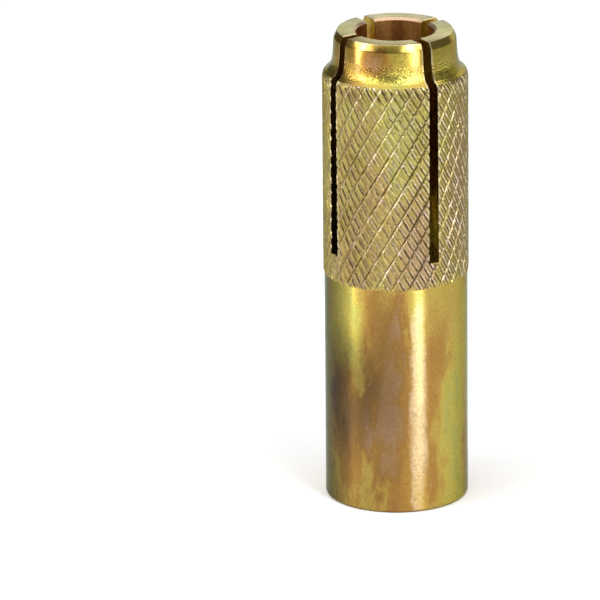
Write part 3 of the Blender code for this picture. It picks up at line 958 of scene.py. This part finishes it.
def chromate(finish):
    """Yellow chromate over zinc: a film that drifts from olive to pink, with specks and rubbed spots."""
    roughness, anisotropy, grain = FINISHES[finish]
    knurled = finish == "knurled"
    material, tree, shader = new_material("yellow_chromate_" + finish)
    place, height, angle = object_place(tree)
    fine = noise(tree, place, GRAIN)
    clouds = noise(tree, place, CLOUDS)
    warp = arithmetic(tree, "MULTIPLY_ADD", clouds, *STAIN_WARP)

    thickness = film_thickness(tree, place, clouds, warp, knurled)
    film = film_colours(tree, thickness, KNURLED_FILM if knurled else TURNED_FILM)
    # Painted shade and painted light from the spots, multiplied into the grain's tone
    light = light_left(tree, place, warp, knurled)
    tone = arithmetic(tree, "MULTIPLY", arithmetic(tree, "MULTIPLY_ADD", fine, *GRAIN_TONE), light)
    toned = blend(tree, 1.0, film, tone, "MULTIPLY")
    specks, pits = specks_and_pits(tree, place, height, fine, clouds, knurled)
    toned = blend(tree, arithmetic(tree, "MULTIPLY", specks, SPECK_SHARE), toned, SOOT)
    rubbed = between(tree, clouds, *RUBBED_FACE_PATCHES)
    rubbed = arithmetic(tree, "MULTIPLY", between(tree, height, *RUBBED_FACE_STEP), rubbed)
    toned = blend(tree, rubbed, toned, RUBBED_FACE)

    rough = arithmetic(tree, "MULTIPLY_ADD", fine, GRAIN_ROUGHNESS, roughness - GRAIN_ROUGHNESS / 2)
    rough = arithmetic(tree, "MULTIPLY_ADD", specks, SPECK_ROUGHNESS, rough)
    relief = arithmetic(tree, "MULTIPLY_ADD", fine, GRAIN_IN_STREAKS, noise(tree, place, STREAKS))
    relief = arithmetic(tree, "MULTIPLY", relief, grain)
    relief = arithmetic(tree, "MULTIPLY_ADD", pits, PIT_DEPTH, relief)
    if finish == "turned":
        toned = wear_shank(tree, toned, place, fine, warp)
    if knurled:
        toned, smeared, crest = knurl_painted_light_and_smear(tree, toned, place, height, angle, fine, clouds, light)
        rough = arithmetic(tree, "MULTIPLY_ADD", smeared, -SMEARED_POLISH, rough)
        relief = arithmetic(tree, "MULTIPLY_ADD", crest, TOOTH_CREST, relief)
    # Rubbed burr and a painted highlight along the slots' edges
    reach, strongest = KNURLED_BURR_AND_HIGHLIGHT if knurled else TURNED_BURR_AND_HIGHLIGHT
    burr = between(tree, fine, *BURR_AND_HIGHLIGHT_STEP, BURR_AND_HIGHLIGHT_WEAKEST * strongest, strongest)
    burr = arithmetic(tree, "MULTIPLY", slot_edge(tree, place, height, reach), burr)
    toned = blend(tree, burr, toned, SLOT_EDGE_WEAR_AND_HIGHLIGHT)

    set_metal(tree, shader, toned, rough, relief, 1.0)
    shader.inputs["Specular Tint"].default_value = opaque(GRAZING_TINT)
    shader.inputs["Coat Weight"].default_value = COAT_WEIGHT
    shader.inputs["Coat Roughness"].default_value = COAT_ROUGHNESS
    if anisotropy:
        shader.inputs["Anisotropic"].default_value = anisotropy
        shader.inputs["Anisotropic Rotation"].default_value = GRAIN_TURN
        tangent = add_node(tree, "ShaderNodeTangent", direction_type="RADIAL", axis="Z").outputs[0]
        tree.links.new(tangent, shader.inputs["Tangent"])
    return material


def bore_metal():
    """The chromate inside the bore, browner as a painted reflection of its walls, with drilling rings."""
    material, tree, shader = new_material("bore_chromate")
    place, height = object_place(tree)[:2]
    fine = noise(tree, place, BORE_GRAIN)
    rings = noise(tree, place, DRILL_RINGS)
    # Browner than outside: a painted reflection of the yellow walls in each other
    brown = blend(tree, between(tree, fine, *CLOUD_STEP), *BORE_COLOURS)
    brown = blend(tree, between(tree, rings, *RING_STEP), brown, BORE_RING)
    # A painted highlight on the rim's chamfer
    brown = blend(tree, between(tree, height, *BORE_RIM_STEP), brown, BORE_RIM_HIGHLIGHT)
    rough = arithmetic(tree, "MULTIPLY_ADD", fine, FIELD_ROUGHNESS, BORE_SMOOTHEST)
    set_metal(tree, shader, brown, rough, rings, DRILL_RING_DEPTH)
    return material


def rubbed_metal():
    """Slot edges where the chromate is rubbed thin and pale, and dark where they cross the knurl."""
    material, tree, shader = new_material("rubbed_chromate")
    place, height = object_place(tree)[:2]
    fine = noise(tree, place, EDGE_GRAIN)
    pale = blend(tree, between(tree, fine, *CLOUD_STEP), *EDGE_COLOURS)
    pale = blend(tree, between(tree, height, *NOSE_EDGE_STEP), EDGE_IN_KNURL, pale)
    rough = arithmetic(tree, "MULTIPLY_ADD", fine, FIELD_ROUGHNESS, SMOOTHEST)
    set_metal(tree, shader, pale, rough, fine, FINE_RELIEF)
    return material


def plug_metal():
    """Plain zinc on the plug: pale grey with cloudy spangle, turning rings and rubbed edges."""
    material, tree, shader = new_material("plug_zinc")
    place = object_place(tree)[0]
    cloud = noise(tree, place, ZINC_CLOUDS)
    grey = blend(tree, between(tree, cloud, *CLOUD_STEP), *ZINC_COLOURS)
    edges = add_node(tree, "ShaderNodeNewGeometry").outputs["Pointiness"]
    grey = blend(tree, between(tree, edges, *SHARP_EDGE_STEP), grey, ZINC_EDGE)
    rough = arithmetic(tree, "MULTIPLY_ADD", cloud, FIELD_ROUGHNESS, SMOOTHEST)
    fine = noise(tree, place, ZINC_GRAIN)
    relief = arithmetic(tree, "MULTIPLY_ADD", fine, GRAIN_IN_RINGS, noise(tree, place, TURNING_RINGS))
    set_metal(tree, shader, grey, rough, relief, FINE_RELIEF)
    return material


def floor_paint():
    """Matte white board with a faint tooth."""
    material, tree, shader = new_material("studio_white")
    place = object_place(tree)[0]
    white = blend(tree, noise(tree, place, FLOOR_TOOTH), *FLOOR_COLOURS)
    tree.links.new(white, shader.inputs["Base Color"])
    shader.inputs["Roughness"].default_value = FLOOR_ROUGHNESS
    return material


def add_object(name, data):
    """An object in the scene."""
    made = bpy.data.objects.new(name, data)
    bpy.context.scene.collection.objects.link(made)
    return made


def make_sleeve():
    """The sleeve: turned and knurled skin less slots, bore and thread."""
    metals = [chromate(finish) for finish in FINISHES]
    inner_metal = bore_metal()
    sleeve = add_object("anchor_sleeve_detail", sleeve_mesh(metals))
    wall_metals = (metals[0], rubbed_metal())
    cuts = zip(("slot_x", "slot_y"), SLOT_TURNS, SLOT_DEPTHS, SLOT_OFFSETS)
    slots = [slot_mesh(name, turn, depth, offset, wall_metals) for name, turn, depth, offset in cuts]
    holes = [bore_mesh(), thread_mesh()]
    for cutter in holes:
        cutter.materials.append(inner_metal)
    cut(sleeve, [*slots, *holes])
    shade(sleeve.data, SHARP_ANGLE)
    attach(sleeve, "root")
    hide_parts("anchor_sleeve")


def make_plug():
    """The expander plug inside the bore."""
    plug = add_object("expander_plug_detail", plug_mesh())
    plug.data.materials.append(plug_metal())
    shade(plug.data, SHARP_ANGLE)
    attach(plug, "root")
    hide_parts("expander_plug")


def direction(azimuth, elevation):
    """Unit vector from the object toward an azimuth and elevation, where azimuth 0 faces the -Y side."""
    flat = math.cos(elevation)
    return Vector((math.sin(azimuth) * flat, -math.cos(azimuth) * flat, math.sin(elevation)))


def add_camera():
    """The photo's view, with the object's middle at its pixel."""
    toward = direction(CAMERA_AZIMUTH, CAMERA_ELEVATION)
    right = Vector((math.cos(CAMERA_AZIMUTH), math.sin(CAMERA_AZIMUTH), 0))
    up = toward.cross(right)
    across = (MIDDLE_PIXEL[0] - IMAGE_SIZE / 2) / PIXELS_PER_MM
    above = (IMAGE_SIZE / 2 - MIDDLE_PIXEL[1]) / PIXELS_PER_MM
    target = Vector((0, 0, LENGTH / 2)) - right * across - up * above
    place = (target + toward * CAMERA_DISTANCE) * MM
    turn = Matrix((right, up, toward)).transposed().to_4x4() @ Matrix.Rotation(-CAMERA_ROLL, 4, "Z")
    camera = add_object("photo_camera", bpy.data.cameras.new("photo_camera"))
    camera.matrix_world = Matrix.Translation(place) @ turn
    camera.data.sensor_width = SENSOR_WIDTH
    camera.data.lens = PIXELS_PER_MM * CAMERA_DISTANCE * SENSOR_WIDTH / IMAGE_SIZE
    camera.data.clip_start, camera.data.clip_end = CAMERA_CLIP
    bpy.context.scene.camera = camera


def add_softbox(name, azimuth, elevation, distance, width, height, radiance, lean=0.0):
    """A soft light aimed at the object, its azimuth counted from the camera's and its lean in degrees."""
    light = bpy.data.lights.new(name, "AREA")
    light.shape = "RECTANGLE"
    light.size = width
    light.size_y = height
    light.energy = radiance * math.pi * width * height
    box = add_object(name, light)
    toward = direction(CAMERA_AZIMUTH + math.radians(azimuth), math.radians(elevation))
    place = Vector((0, 0, LENGTH / 2 * MM)) + toward * distance
    aimed = toward.to_track_quat("Z", "Y").to_matrix().to_4x4() @ Matrix.Rotation(math.radians(lean), 4, "Z")
    box.matrix_world = Matrix.Translation(place) @ aimed


def add_floor():
    """The white board that the sleeve stands on."""
    mesh = bpy.data.meshes.new("studio_floor")
    half = FLOOR_WIDTH / 2 * MM
    corners = [(-half, -half, 0), (half, -half, 0), (half, half, 0), (-half, half, 0)]
    mesh.from_pydata(corners, [], [(0, 1, 2, 3)])
    floor = add_object("studio_floor", mesh)
    floor.location.z = -FLOOR_GAP * MM
    floor.rotation_euler.z = CAMERA_AZIMUTH
    mesh.materials.append(floor_paint())


def add_room():
    """A grey room with a soft white backdrop behind the sleeve, white all round where it is seen directly."""
    world = bpy.data.worlds.new("studio_room")
    world.use_nodes = True
    tree = world.node_tree
    aim = add_node(tree, "ShaderNodeTexCoord").outputs["Generated"]
    inputs = {0: aim, 1: tuple(-direction(CAMERA_AZIMUTH - BACKDROP_TURN, 0.0))}
    toward_back = add_node(tree, "ShaderNodeVectorMath", inputs, operation="DOT_PRODUCT").outputs["Value"]
    seen = add_node(tree, "ShaderNodeLightPath").outputs["Is Camera Ray"]
    white = arithmetic(tree, "MAXIMUM", between(tree, toward_back, *BACKDROP_EDGE), seen)
    room = blend(tree, white, 3 * (ROOM_GREY,), 3 * (BACKDROP_WHITE,))
    tree.links.new(room, tree.nodes["Background"].inputs["Color"])
    bpy.context.scene.world = world


def add_studio():
    """A white floor, a grey room with a white backdrop, and the soft lights."""
    add_floor()
    add_room()
    bpy.context.scene.view_settings.view_transform = "Standard"
    for name, settings in SOFTBOXES.items():
        add_softbox(name, *settings)


add_camera()
add_studio()
make_sleeve()
make_plug()
